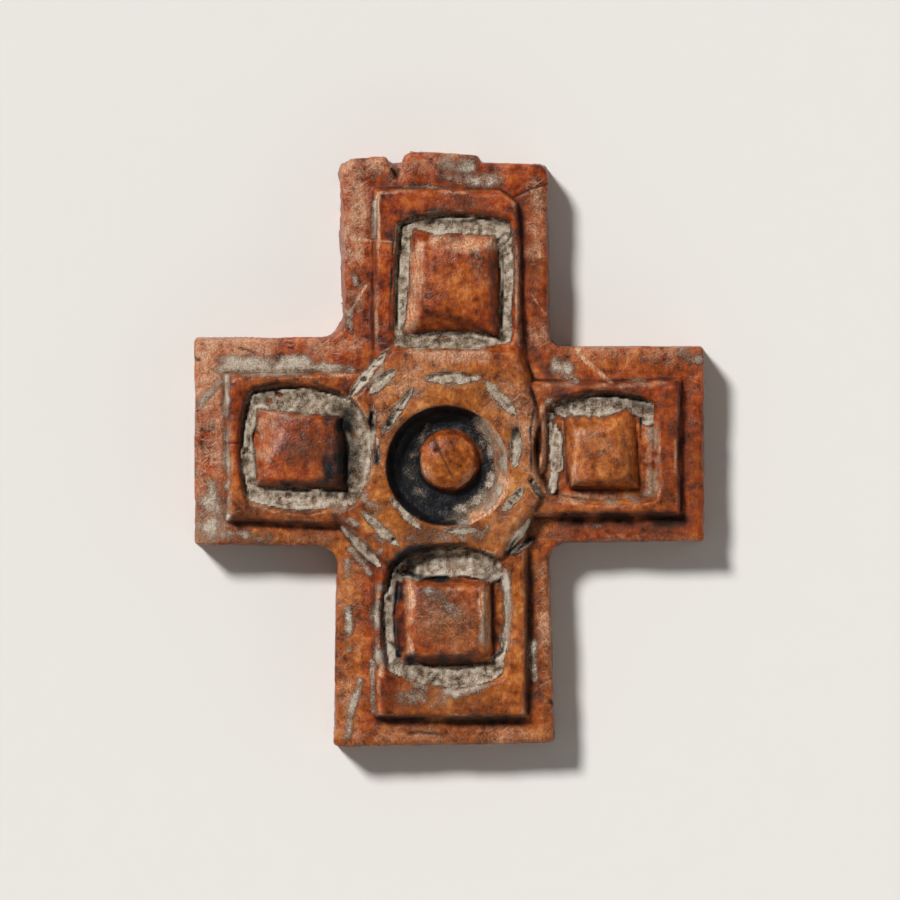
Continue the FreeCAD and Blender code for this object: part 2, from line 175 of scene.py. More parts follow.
# Ends of the arms as (across, back from the reach, corner radius), from right to left looking out
ENDS = {
    "right": ((-6.85, 0.0, 0.35), (9.65, 0.05, 0.35)),
    "upper": ((-8.5, 1.05, 0.8), (-2.95, 0.9, 0.1), (-2.6, 0.35, 0.1), (3.1, 0.0, 0.2),
              (3.8, 0.45, 0.1), (4.0, None, 0.08), (4.7, None, 0.08), (5.08, 0.45, 0.1),
              (9.35, 0.6, 1.4)),
    "left": ((-10.4, 0.0, 0.35), (7.15, 0.05, 0.35)),
    "lower": ((-9.65, 0.0, 0.45), (9.1, 0.35, 0.45)),
}
INNER_RADII = {"right": 1.1, "upper": 1.85, "left": 1.65, "lower": 1.65}
# Strokes cut into the disc and its rim: middle x, y, length, width, bearing, depth below the disc
GOUGES = (
    (0.4, 6.85, 5.0, 1.1, 0, 0.7), (4.4, 5.2, 4.0, 0.95, -47, 0.7),
    (5.65, 1.0, 3.5, 1.05, 88, 0.7), (5.5, -3.2, 2.8, 0.85, 49, 0.6),
    (1.1, -5.8, 3.1, 0.65, 0, 0.6), (-3.5, -4.4, 3.8, 0.95, -46, 0.7),
    (-5.85, 0.9, 2.4, 0.4, 90, 0.5), (-4.15, 4.15, 5.0, 0.8, 56, 0.8),
    (-5.6, -5.65, 4.5, 1.0, -43, 0.9), (-5.4, 6.6, 3.0, 1.1, 43, 0.8),
    (5.9, -6.25, 3.7, 0.7, 54, 0.9), (6.2, -7.2, 2.3, 0.7, 31, 1.4),
    (-6.7, 7.1, 5.6, 0.95, 50, 1.5), (-7.15, -7.25, 5.2, 0.95, -45, 1.8),
    (-6.3, 2.5, 4.4, 0.8, 86, 1.2), (7.4, -2.3, 2.2, 0.6, -56, 1.8),
)
# Two more of these leaf shapes, without the depth
LEAF_RIDGE = (7.85, 1.9, 7.0, 1.1, 88)      # left standing between two strokes
NOTCH_STROKE = (-4.4, 25.0, 3.2, 1.0, 97)   # hollow below the broken notch, on the carved face
print(len(ARMS), "arms and", len(GOUGES), "strokes")

# %% [markdown]
# ## Outlines and distances
# Each form of the relief is an outline with straight or bowed sides. For every point of the grid
# we work out how far it lies inside each side. The least of these distances says how far it is
# inside the outline, and a profile then turns that distance into a height: a wall, a bevel or a
# dished cove.


# %% Plane geometry
def turned(along, across, bearing):
    """A point of an arm's own directions, turned to the arm's bearing."""
    angle = math.radians(bearing)
    return np.array([along * math.cos(angle) - across * math.sin(angle),
                     along * math.sin(angle) + across * math.cos(angle)])


def meeting(a, b, c, d):
    """Where the line through a and b meets the line through c and d."""
    u, v, w = b - a, d - c, c - a
    return a + u * (w[0] * v[1] - w[1] * v[0]) / (u[0] * v[1] - u[1] * v[0])


def side_distances(corners, bows=None):
    """Distance inside each side of an anticlockwise outline, as (sides, rows, columns).

    For a side from a to b it is the offset along the inward normal, plus bow*(1 - s^2), where s
    runs from -1 to 1 along the side.
    """
    distances = []
    for i, a in enumerate(corners):
        a, b = np.asarray(a, float), np.asarray(corners[(i + 1) % len(corners)], float)
        length = np.hypot(*(b - a))
        ux, uy = (b - a) / length
        s = np.clip(2 * ((grid_x - a[0]) * ux + (grid_y - a[1]) * uy) / length - 1, -1, 1)
        bow = bows[i] if bows else 0
        distances.append((grid_y - a[1]) * ux - (grid_x - a[0]) * uy + bow * (1 - s * s))
    return np.array(distances)


def least(distances, width=CREASE):
    """Least of several distances, with rounded creases."""
    result = distances[0]
    for distance in distances[1:]:
        result = soft_min(result, distance, width)
    return result


def arm_side(arm, widths, sign):
    """Two points on a side of an arm, near the middle and at the end."""
    return (turned(ARM_ROOT, sign * widths[0], arm["bearing"]),
            turned(arm["reach"], sign * widths[1], arm["bearing"]))


def field_corners(arm):
    """Top outline of the raised cross on one arm, from outer right to outer left and back in."""
    left = arm_side(arm, np.subtract(arm["left"], arm["left_border"]), 1)
    right = arm_side(arm, np.subtract(arm["right"], arm["right_border"]), -1)
    lines = [(turned(at, -1, arm["bearing"]), turned(at, 1, arm["bearing"]))
             for at in (arm["reach"] - arm["end_border"], 0)]
    return [meeting(*right, *lines[0]), meeting(*left, *lines[0]),
            meeting(*left, *lines[1]), meeting(*right, *lines[1])]


def outline_on_arm(arm, outline):
    """Four-cornered outline round an arm's boss, in the frame of the cross."""
    middle = arm["reach"] - arm["setback"]
    return [turned(middle + along, across, arm["bearing"]) for along, across in outline]


print("upper arm's field", [corner.round(1).tolist() for corner in field_corners(ARMS["upper"])])

# %% [markdown]
# ## The relief, level by level
# We cut in the carver's order. The slab's ledge comes first, with the raised cross on it and a
# shallow cove scraped along its foot. The disc is laid over the crossing. Then each boss is freed
# by four bowed gouge strokes, and last come the slots of the disc and its ring channel.

# %% Raised cross, cove and disc
field_depth, cove_half = np.full_like(grid_x, -99), np.zeros_like(grid_x)
for name, arm in ARMS.items():
    sides = side_distances(field_corners(arm))
    right_cove, end_cove, left_cove = arm["coves"]
    side_coves = np.array([end_cove, left_cove, left_cove, right_cove])[sides.argmin(axis=0)]
    depth = least(sides)
    if name == "upper":
        corner = field_corners(arm)[0]
        start, end = corner + (0, -CHIP_ALONG), corner + (-CHIP_ACROSS, 0)
        ux, uy = (end - start) / np.hypot(*(end - start))
        chip = (grid_y - start[1]) * ux - (grid_x - start[0]) * uy
        depth = soft_min(depth, chip, CREASE)
    cove_half = np.where(depth > field_depth, side_coves, cove_half)
    field_depth = np.maximum(field_depth, depth)
cove_half = blur(cove_half, 0.4)
sway = SWAY * cloud(11, 1.6)
field_depth += sway
field = np.interp(field_depth, (-FIELD_SPREAD, 0, FIELD_BEVEL),
                  (LEDGE_HEIGHT, FIELD_HEIGHT - FIELD_BEVEL, FIELD_HEIGHT))
from_cove = np.abs(field_depth + FIELD_SPREAD + cove_half) / cove_half
field -= np.interp(from_cove, (0, 0.2, 0.65, 1), (COVE_DEPTH, COVE_DEPTH, 0.62 * COVE_DEPTH, 0))
disc_depth = least(side_distances([turned(DISC_RADIUS * share, 0, bearing)
                                   for bearing, share in DISC_CORNERS]), DISC_CREASE)
disc = np.interp(disc_depth + sway, (-DISC_SPREAD, 0, DISC_BEVEL),
                 (LEDGE_HEIGHT, DISC_HEIGHT - DISC_BEVEL, DISC_HEIGHT))
height = np.maximum(field, disc)
print("heights from", height.min().round(2), "to", height.max().round(2), "mm")

# %% Trenches and square bosses
for arm in ARMS.values():
    sides = side_distances(outline_on_arm(arm, arm["trench"]), arm["trench_bows"])
    cut = np.interp(least(sides, TRENCH_CREASE) + sway, (-0.12, 0, TRENCH_SLOPE),
                    (DISC_HEIGHT + 0.5, FIELD_HEIGHT, TRENCH_FLOOR))
    height = soft_min(height, cut, CREASE)
    foot = side_distances(outline_on_arm(arm, arm["foot"]), arm["foot_bows"]) + sway
    flat = side_distances(outline_on_arm(arm, arm["flat"]), arm["foot_bows"])
    facets = BOSS_FOOT + (BOSS_HEIGHT - BOSS_FOOT) * foot / np.maximum(foot - flat, 0.15)
    below = BOSS_FOOT + foot * (BOSS_FOOT - TRENCH_FLOOR + 0.4) / BOSS_SPREAD
    facets = np.where(foot < 0, below, facets)
    crown_x, crown_y = turned(arm["reach"] - arm["setback"], 0, arm["bearing"]) + CROWN_SHIFT
    domed = BOSS_HEIGHT - BOSS_DOMING * ((grid_x - crown_x) ** 2 + (grid_y - crown_y) ** 2)
    height = np.maximum(height, soft_min(least(facets, BOSS_CREASE), domed, 0.07))
print("bosses stand to", height[disc_depth < -2].max().round(2), "mm")


# %% Slots, ring channel and round boss
def gouge_stroke(place, keel, ends):
    """Where one leaf-shaped stroke lies, and how deep it is there as a share of its full depth.

    The half width at u along the stroke is width/2*(1 - |2u/length|^3). From that edge the depth
    rises evenly. It is full on the keel, and a higher number for the ends makes them blunter.
    """
    x, y, length, width, bearing = place
    angle = math.radians(bearing)
    u = (grid_x - x) * math.cos(angle) + (grid_y - y) * math.sin(angle)
    v = (grid_y - y) * math.cos(angle) - (grid_x - x) * math.sin(angle)
    half = width / 2 * (1 - np.abs(2 * u / length) ** 3)
    share = np.where(half > 0, 1 - np.abs(v) / np.maximum(half, 0.01), -1)
    return share > 0, np.clip(share / keel, 0, 1) * np.clip(half / (width / 2) * ends, 0, 1)


slot = np.zeros_like(height)
for *place, depth in GOUGES:
    inside, share = gouge_stroke(place, 0.8, 1.6)
    slot = np.maximum(slot, np.clip(share * 1.5, 0, 1))
    height = np.minimum(height, np.where(inside, DISC_HEIGHT - depth * share, DISC_HEIGHT + 1))
inside, share = gouge_stroke(LEAF_RIDGE, 0.7, 1.5)
ridge = TRENCH_FLOOR + (FIELD_HEIGHT - RIDGE_DROP - TRENCH_FLOOR) * share
height = np.where(inside, soft_max(height, ridge, 0.02), height)
height -= NOTCH_HOLLOW * gouge_stroke(NOTCH_STROKE, 0.6, 2)[1]
ring_distance = np.hypot(grid_x - RING_X, grid_y - RING_Y)
ring_foot = RING_RADIUS - RING_WALL
bowl = np.interp(ring_distance,
                 (0, ring_foot - 0.4, ring_foot + 0.1, RING_RADIUS, RING_RADIUS + 0.2),
                 (RING_FLOOR, RING_FLOOR, RING_FLOOR + 0.22, DISC_HEIGHT, DISC_HEIGHT + 1))
boss_distance = np.hypot(grid_x, grid_y) + SWAY * cloud(12, 1.1)
crown = DISC_HEIGHT - BOSS_DROP
dome = np.where(boss_distance < BOSS_SHOULDER,
                crown - BOSS_DOME * (boss_distance / BOSS_SHOULDER) ** 2,
                np.interp(boss_distance, (BOSS_SHOULDER, BOSS_RADIUS, BOSS_RADIUS + 0.2),
                          (crown - BOSS_DOME, RING_FLOOR, 0)))
height = soft_max(soft_min(height, bowl, BOSS_CREASE), dome, BOSS_CREASE)
print("ring floor at", height[(ring_distance < 4) & (boss_distance > 3)].min().round(2), "mm")

# %% [markdown]
# ## Wear and tool strokes
# Handling rounds what stands out and leaves hollows sharp. A blurred copy of the heights shows
# which is which: where the surface is above its own blur it is an edge. We take some of that
# away, more in some places than in others, and then lay the small waves of the scraper over it.

# %% Worn edges and scraped faces
EDGE_REACH, EDGE_MOST = 0.16, 0.3       # the blur that finds edges, and the most they stand proud
carved = height.copy()
proud = np.clip(carved - blur(carved, EDGE_REACH), 0, EDGE_MOST)
height = carved - proud * np.clip(0.35 + 0.5 * cloud(21, 0.4), 0, 1.2)
height = 0.6 * height + 0.4 * blur(height, 0.07)
height += clouds((0.028, 22, 0.8), (0.012, 23, 0.26), (0.006, 24, 0.12, 0.8))
print("most taken off an edge", (carved - height).max().round(2), "mm")

# %% [markdown]
# ## Soil, stains, cracks, worn places and painted light
# These lie where they do by chance, so they are placed one by one, as short strokes on the cross.
# Soil that fills a groove is part of the shape. The rest mostly says how the surface looks, and
# some of it is painted shade, shadow and highlight.

# %% Strokes placed one by one
# Each row is an amount in hundredths, a width, and the x and y of each point of a line. All
# lengths in the rows are in hundredths of a millimetre.
SOIL_FILL = (
    (100, 210, -396, 1954, -188, 1996, 188, 2004, 429, 1954),
    (90, 140, 504, 1888, 521, 1421, 496, 1004), (90, 140, -379, 1871, -404, 1421, -438, 1038),
    (100, 170, -429, 946, -146, 979, 188, 988, 438, 946),
    (100, 290, -1621, 538, -1312, 554, -1021, 529, -854, 471),
    (90, 170, -1679, 488, -1712, 171, -1671, -246),
    (90, 170, -1671, -304, -1396, -321, -1062, -329, -838, -296),
    (90, 250, -796, 421, -712, 171, -729, -162, -812, -288),
    (100, 230, 988, 488, 1188, 488, 1438, 521, 1688, 488),
    (90, 67, 854, 371, 904, 204, 912, -46, 871, -246), (95, 96, 904, 204, 912, -62),
    (80, 130, 1654, 471, 1679, 354), (100, 230, -354, -912, -146, -846, 104, -829, 354, -896),
    (90, 140, -496, -979, -529, -1329, -496, -1662), (70, 67, 496, -954, 521, -1329, 471, -1621),
    (100, 160, -462, -1696, -229, -1779, 62, -1812, 354, -1762, 479, -1646),
)
SOIL_DUST = (
    (100, 150, -1879, 788, -1479, 788, -1196, 796), (95, 67, -1196, 779, -796, 762),
    (95, 67, -1846, 704, -1846, 171, -1838, -471), (80, 220, -1946, -262, -1979, -562),
    (60, 75, -1879, 688, -2062, 488), (70, 83, -1879, -621, -1479, -629),
    (70, 67, -1146, 812, -1029, 812), (90, 100, -38, 2471, 188, 2454),
    (75, 120, -12, 2338, 412, 2338), (75, 33, -362, 2288, 21, 2279),
    (90, 42, -612, 2154, -621, 1862), (50, 75, -904, 2021, -879, 1546, -896, 1129, -1029, 1038),
    (70, 50, -771, 1588, -771, 1479), (60, 58, -796, 1338, -812, 1088),
    (85, 130, 921, 796, 988, 771), (70, 67, 996, 688, 1071, 671), (80, 42, 1512, 671, 1638, 671),
    (65, 120, 1971, 879, 2104, 838), (70, 67, 1171, -546, 1329, -546),
    (75, 67, -838, -846, -838, -962), (80, 67, -829, -1238, -821, -1579),
    (75, 67, -729, -1846, -804, -2079, -838, -2304), (85, 42, -629, -1679, -621, -2104),
    (80, 75, 712, -1538, 721, -1812), (70, 120, 96, -404, 221, -371, 338, -279),
    (80, 75, 262, 321, 346, 171, 379, -29, 354, -212), (45, 100, -12, -479, 154, -496),
    (45, 120, -312, -79, -196, -371), (100, 29, -754, 438, -679, 254, -654, 46, -696, -204),
    (60, 100, -454, 2421, -429, 2504), (75, 75, 246, 338, 271, 204, 288, 104),
    (50, 67, -162, 304, -212, 171, -288, 46), (60, 120, -696, -288, -554, -429),
    (42, 130, -329, -621, 271, -629), (60, 130, -362, -1979, -62, -1996),
    (50, 120, -154, -1096, 71, -1246), (60, 83, 846, 488, 912, 254, 896, -162),
    (70, 75, 1321, -329, 1571, -321, 1704, -246), (55, 100, 1712, 296, 1721, -79, 1688, -262),
    (75, 150, -554, -1062, -562, -1329, -546, -1621), (60, 75, -854, -371, -979, -429, -796, -329),
    (70, 75, -438, -1729, -229, -1829, 62, -1938, 271, -1871),
    (80, 100, -188, -879, 21, -821, 254, -838), (60, 120, -229, -1862, 62, -1929, 321, -1862),
    (60, 58, -629, -829, -529, -704, -646, -579, -812, -496),
    (70, 75, -812, -729, -712, -846, -646, -946), (50, 83, 271, -1579, 296, -1329),
    (80, 83, 479, -929, 504, -1288, 462, -1621),
)
# burnt black residue, and painted shadow along walls and facets that face away from the lamp
SOOT_AND_SHADOW = (
    (80, 75, -638, 488, -621, 254), (90, 50, -596, 171, -588, -12),
    (115, 250, -921, 321, -912, 88, -938, -162), (75, 50, -1379, -196, -871, -221),
    (108, 120, -404, -996, -404, -1246, -388, -1538),
    (90, 58, -421, -912, -412, -1162, -412, -1621), (100, 25, 375, -1046, 375, -1562),
    (100, 25, 1612, 354, 1612, -196), (90, 21, 1038, -221, 1271, -221),
    (90, 25, 462, 1754, 454, 1071), (100, 25, -454, 1838, -488, 1088),
    (100, 100, -296, -1662, 171, -1671), (100, 83, -479, -896, -404, -804, -296, -738, -129, -712),
    (100, 33, -129, -704, 154, -688), (75, 120, -412, -946, -296, -846, -146, -796),
    (100, 67, 496, -771, 704, -654), (70, 25, -129, 729, 254, 729), (100, 100, 554, 254, 562, 212),
    (100, 33, 679, 646, 738, 462), (90, 25, 721, 421, 688, 262, 696, -104),
    (100, 50, 704, -162, 788, -304), (90, 33, 896, 529, 1146, 579, 1354, 604),
    (60, 75, -1054, -504, -954, -521), (100, 58, -362, -929, -229, -979, -12, -988),
    (50, 83, 271, -929, 338, -996), (60, 67, -796, 254, -762, 46),
    (80, 25, -546, 196, -421, 404, -296, 604), (50, 100, 1304, 554, 1688, 488, 1704, 404),
    (40, 75, -29, -579, 254, -579), (80, 33, -379, 2054, -146, 2088, 171, 2088, 421, 2062),
    (80, 42, -1646, 604, -1438, 646, -1129, 654, -912, 571),
    (80, 33, -1704, 504, -1746, 171, -1704, -246), (70, 33, -146, 1021, 62, 1054, 312, 996),
    (60, 25, -396, -1762, -62, -1879, 188, -1862), (80, 33, 62, 1988, 312, 2021, 438, 1971),
    (70, 25, -1546, 488, -1312, 521, -1146, 496), (60, 25, -1629, 171, -1612, -162),
    (50, 100, 779, -704, 879, -621),
)
CRACKS = (
    (90, 17, -1738, 938, -1671, 921, -1604, 892), (80, 17, -1829, 146, -1738, 146),
    (90, 21, -1671, 171, -1662, 21, -1671, -121), (90, 17, 546, 2196, 721, 2279, 838, 2304),
    (90, 17, 838, -2021, 862, -1971, 879, -1921), (90, 15, -129, 238, -46, 38, 46, -146),
    (100, 42, -96, 88), (90, 33, -2075, 838), (80, 25, -321, -2279, -229, -2271, -79, -2288),
    (70, 18, 121, 1479),
)
# pale chips and scratches, and painted highlights along rims that face the lamp
PALE_AND_HIGHLIGHTS = (
    (120, 29, 179, -521, 354, -433, 475, -300, 521, -129),
    (140, 25, 512, -112, 488, -246, 412, -371, 312, -454, 204, -512),
    (60, 50, 129, -146, 204, -79, 154, -79), (120, 21, 71, -229, 179, -154, 229, -62),
    (55, 120, -196, -79, -96, -188), (90, 25, -538, 821, -579, 646, -662, 554),
    (55, 83, -729, 2321, -746, 2171), (50, 83, -738, 1962, -729, 1654),
    (110, 21, -846, 1188, -679, 1462), (110, 18, -896, 1862, -462, 1821),
    (100, 21, 696, 1396, 862, 1154), (60, 58, 721, 1962, 771, 1712),
    (100, 42, 1071, 921, 1179, 812, 1304, 704, 1362, 654), (70, 58, 1938, -671, 2004, -571),
    (100, 50, -588, -1638, -538, -1696, -554, -1779), (90, 42, -579, 2196),
    (100, 29, -579, 2188, -571, 1796), (60, 25, -2096, 429, -1896, 571), (90, 33, -1779, 662),
    (90, 33, 838, 2288), (50, 33, 246, -2262, 388, -2254), (75, 200, -1504, 354, -1529, 88),
    (50, 120, -1438, 388, -1146, 388), (60, 100, -1396, 238, -1546, -79),
    (55, 75, 1071, 221, 1312, 288), (50, 83, -1546, -212, -1229, -229),
    (80, 130, -246, 862, 304, 862), (60, 75, -371, -838, -262, -996),
    (100, 67, -329, -979, -296, -1162, -321, -1412, -304, -1621),
    (80, 42, -362, -1046, -346, -1262), (110, 120, 1696, 354, 1712, 88, 1696, -246),
    (130, 50, 788, 438, 821, 171, 796, -79), (90, 120, 988, -312, 1271, -329, 1538, -321),
    (100, 25, 962, 321, 971, 46), (90, 120, -229, 1804, -246, 1421, -304, 1104),
    (90, 180, -62, -854, 271, -846), (60, 130, -1579, 521, -1062, 488),
    (90, 130, -1604, -329, -938, -362), (80, 150, -1879, 788, -1196, 796),
    (60, 42, 479, -996, 512, -1329, 471, -1621), (50, 67, -271, 1088, -312, 962, -379, 1338),
    (110, 100, 304, -1079, 321, -1538), (90, 180, -96, 1821, 338, 1804),
    (50, 170, 229, 1629, 312, 1504), (50, 50, 271, 1462, 279, 1296),
)
# rubbed places, and painted sheen on the boss facets that face the lamp
WORN_AND_SHEEN = (
    (90, 330, -1996, 962, -2038, 171, -1979, -579), (70, 220, -1896, 954, -979, 938),
    (75, 180, -762, 2421, -779, 1754, -796, 1004), (70, 200, -646, 2454, 438, 2504),
    (55, 180, 721, 2254, 738, 1754), (50, 330, -146, 796, -438, 504, -562, 88),
    (50, 200, 1062, 904, 2021, 904), (60, 130, 2071, 838, 2088, 346),
    (50, 67, 938, -662, 2104, -662), (36, 200, -796, -912, -812, -2329),
    (33, 170, -562, -2312, 771, -2312), (70, 120, -312, 1704, -329, 1129),
    (50, 170, -1496, -79, -1546, 254), (25, 170, -1771, -671, -1062, -671),
    (50, 120, 812, -912, 838, -2246), (40, 250, 938, 754, 771, 1004),
    (30, 500, 604, 504, 604, -496), (30, 500, 1271, 88), (30, 500, 21, -1329),
)
GOLD = (
    (100, 620, -396, 504, -4, 629, 438, 504, 604, 4, 479, -496, 21, -579, -521, -412, -629, 4,
     -396, 504),
    (80, 420, -62, -79, 62, 4), (70, 580, -146, -1996, 438, -1996, 562, -1412, 562, -912),
    (80, 500, 1188, 254, 1438, -162), (60, 220, -1646, 688, -979, 654),
    (70, 250, -1729, -329, -979, -454), (70, 250, -1729, -671, -896, -704), (50, 500, 21, -1329),
    (70, 250, -854, -912, -829, -2329), (60, 200, -646, -2312, 812, -2312),
    (50, 170, 812, -912, 821, -2162), (40, 500, 62, 1421), (50, 200, 938, -371, 1771, -371),
    (40, 200, 938, 838, 1938, 838),
)
# brown stain, and painted shade on the ledges right of and below the raised cross
PATINA_AND_SHADE = (
    (70, 200, 738, 2171, 738, 1004), (60, 170, 938, -588, 2021, -588),
    (50, 120, 2079, 338, 2079, -662), (60, 130, -1729, -671, -979, -671),
    (75, 370, -1188, 171, -1129, -12), (50, 250, -396, -2012, 271, -2012),
    (95, 250, -96, -1162, -112, -1396), (50, 330, 146, -1329, 104, -1496),
    (70, 220, -312, -646, 271, -662), (50, 220, -62, 2154, 188, 2154),
    (55, 120, 1846, 504, 1846, -329), (45, 200, 771, -496, 812, -371),
    (40, 130, 771, -829, 838, -2329), (50, 170, -1229, -429, -1646, -429),
    (40, 150, -562, -2296, 771, -2312),
)
# painted shadow in the coves right of and below the raised cross, and a few dark grime lines
SHADE_AND_GRIME = (
    (120, 130, 988, -488, 1962, -496), (95, 100, -562, -2171, 621, -2171),
    (40, 120, 1971, 604, 1971, -396), (75, 92, 688, -871, 688, -2038),
    (60, 75, 612, 2171, 612, 1004), (70, 75, -1796, -521, -1021, -546),
    (60, 25, -596, 2171, -596, 938), (50, 25, -1812, 688, -1821, -462),
    (50, 75, 688, 962, 896, 629), (60, 33, 938, 638, 1938, 638), (70, 83, -412, -1679, -296, -1629),
    (50, 100, -938, -454, -729, -662), (60, 67, 479, -704, 604, -496),
    (95, 50, -471, 2529, -462, 2404), (60, 25, 1604, 921, 1621, 904),
)
# darker soil, and painted shade on the upper parts of the soil in the trenches
DARK_SOIL_AND_SHADE = (
    (70, 180, 954, 488, 1271, 504, 1538, 538, 1704, 421),
    (70, 110, -829, 379, -779, 88, -812, -212),
    (60, 110, -362, 1996, -146, 2046, 171, 2062, 421, 2021), (45, 120, -546, -1079, -554, -1579),
    (55, 100, -521, -1162, -529, -1579), (50, 100, -396, -796, -188, -762),
    (40, 100, -521, 1954, -462, 1871), (55, 67, -4, 2471, 188, 2462),
    (50, 83, 304, -896, 396, -954),
)
print(len(SOIL_FILL), "grooves with soil")


# %% Painting with strokes
def painted(strokes, edge=0.5):
    """Most that the strokes give at each point. They fade out over the edge share of the width."""
    paint = np.zeros_like(grid_x)
    for amount, width, *places in strokes:
        points = np.reshape(places, (-1, 2)) / 100
        ends = points[1:] if len(points) > 1 else points
        distance = np.full_like(grid_x, 1e3)
        for (ax, ay), (bx, by) in zip(points, ends):
            ux, uy = bx - ax, by - ay
            long = max(ux * ux + uy * uy, 1e-9)
            t = np.clip(((grid_x - ax) * ux + (grid_y - ay) * uy) / long, 0, 1)
            distance = np.minimum(distance, np.hypot(grid_x - ax - t * ux, grid_y - ay - t * uy))
        reach = width / 100 / 2
        cover = ease(distance, reach * (1 + edge), reach * (1 - edge))
        paint = np.maximum(paint, amount / 100 * cover)
    return paint


CRACK_DEPTH, DUST_DEPTH = 0.13, 0.025   # mm
crack = painted(CRACKS)
height -= CRACK_DEPTH * crack
ragged = clouds((0.5, 31, 0.22), (0.5, 32, 0.6))

# Soil lies in a groove up to a blurred copy of the carving and SOIL_BED mm more. It is thin in a
# strip along the groove's upper left border, SLIP cells wide, which so stays a hollow and is
# painted with shade.
SLIP, SOIL_BED = 2, 0.12
hollow = ease(blur(carved, 0.9) - carved + 0.05 * ragged, -0.03, 0.12)
groove = ease(painted(SOIL_FILL, 0.35) + 0.14 * ragged, 0.15, 0.6) * hollow
groove = np.maximum(groove, ease(1.5 * slot + 0.1 * ragged, 0.1, 0.5))
shade = groove * (1 - np.roll(groove, (-SLIP, SLIP), (0, 1)))
lumps = clouds((0.06, 33, 0.34), (0.05, 34, 0.17), (0.025, 38, 0.1))
shade *= np.clip(0.75 + 0.5 * cloud(39, 0.5), 0, 1) * (1 - 0.6 * slot)
clefts = groove * ease(np.abs(cloud(46, 0.45)), 0.2, 0.0) * ease(cloud(47, 0.9), 0.3, 1.2)
bed = blur(carved, 0.42) + SOIL_BED + 0.2 * slot + lumps
thick = groove * np.clip(bed - height, 0, None)
soil = ease(thick, 0.0, 0.1)
thick *= 1 - np.maximum(0.6 * clefts, 0.8 * shade)
height += thick
dust = np.clip(painted(SOIL_DUST, 0.9) * (0.85 + 0.4 * ragged), 0, 1)
height += DUST_DEPTH * ease(dust, 0.3, 0.7) * (1 + 0.6 * cloud(35, 0.15))
spilt = 0.6 * np.clip(1.6 * blur(groove, 0.4), 0, 1) * np.clip(0.8 + 0.5 * ragged, 0, 1)
height = soft_min(height, DISC_HEIGHT - 0.03, 0.02)
print("thickest soil", thick.max().round(2), "mm")

# %% What shows as colour
LOOK_REACH = 0.22           # mm: blur that tells edges from hollows
edge_now = height - blur(height, LOOK_REACH)
worn = np.clip(painted(WORN_AND_SHEEN, 0.9) * (0.8 + 0.35 * cloud(41, 0.8)) + ease(edge_now, 0.05, 0.16)
               * (0.3 + 0.4 * cloud(42, 0.5)), 0, 1)
# darker in the hollows of the surface, where it lies below its own blur
grime_and_shade = np.clip(ease(-edge_now, 0.04, 0.2) * (0.8 + 0.25 * cloud(43, 0.5)), 0, 1)
in_ring = (ease(ring_distance, RING_RADIUS + 0.02, RING_RADIUS - 0.2)
           * ease(boss_distance + 0.1 * ragged + 0.3 * ease(-grid_x, -1.0, 2.0), 2.4, 2.9))
ring_turn = np.arctan2(grid_y - RING_Y, grid_x - RING_X)
# the part of the ring's wall that faces the lamp has no soot, over about a third of a turn
LIT_LOW, LIT_MIDDLE = 4.0, -0.13        # mm from the ring's middle, radians
wall_low = LIT_LOW + 0.12 * ragged
lit_wall = ease(np.abs(ring_turn - LIT_MIDDLE), 1.15, 0.95)
lit_wall *= ease(ring_distance, wall_low, wall_low + 0.3)
# burnt residue, and painted shadow from the strokes
soot_and_shadow = painted(SOOT_AND_SHADOW, 0.9) * (0.72 + 0.25 * ragged)
soot_and_shadow = np.clip(np.maximum(in_ring * (1 - lit_wall), soot_and_shadow), 0, 1)
dust = np.maximum(dust, spilt * (1 - soot_and_shadow) * (1 - 0.5 * slot))
# the part of the ring's wall that faces the lamp gets dust, and pale colour as a painted highlight
lit_wall *= ease(ring_distance, RING_RADIUS + 0.1, RING_RADIUS - 0.05)
wall_dust = 0.35 + 0.3 * cloud(48, 0.35) + 0.3 * ease(grid_y, -4.5, 0.5)
dust = np.maximum(dust, lit_wall * np.clip(wall_dust, 0, 0.8))
pale = np.clip(np.maximum(painted(PALE_AND_HIGHLIGHTS, 0.8), 1.25 * lit_wall) * (0.85 + 0.3 * ragged), 0, 1)
gold = np.clip(painted(GOLD, 0.95), 0, 1)
grime_and_shade = np.maximum(np.maximum(grime_and_shade, crack), painted(SHADE_AND_GRIME, 0.6) * (0.85 + 0.25 * ragged))
# painted light and shade on the soil: paler on its crests, darker in its dips
crest = np.clip(0.5 + edge_now / 0.14, 0, 1)
near_soil = np.clip(2.2 * blur(groove, LOOK_REACH), 0, 1)
grime_and_shade *= 1 - np.maximum(0.65 * near_soil, 0.8 * dust)
# painted shade along each groove's upper left border and in the soil's clefts
grime_and_shade = np.maximum(grime_and_shade, 0.75 * np.maximum(clefts, shade))
# darker soil, and painted shade on it
grime_and_shade = np.maximum(grime_and_shade, painted(DARK_SOIL_AND_SHADE, 0.9) * (0.7 + 0.5 * ragged))
brown_stain_and_shade = np.clip(painted(PATINA_AND_SHADE, 0.9) * (0.9 + 0.3 * cloud(45, 0.7)), 0, 1)
looks = {"soil": soil, "dust": dust, "crest": crest, "soot_and_shadow": soot_and_shadow, "worn": worn,
         "grime_and_shade": np.clip(grime_and_shade, 0, 1), "pale": pale, "gold": gold, "brown_stain_and_shade": brown_stain_and_shade}
print({name: float(values.mean().round(3)) for name, values in looks.items()})

# %% [markdown]
# ## The slab's edge
# The slab has sawn walls that lean a little and an edge that is worn round. We take its outline at
# several levels, each with the same number of points, so that the wall can run from one level to
# the next. The broken notch in the upper end is deeper on the carved face than on the back.


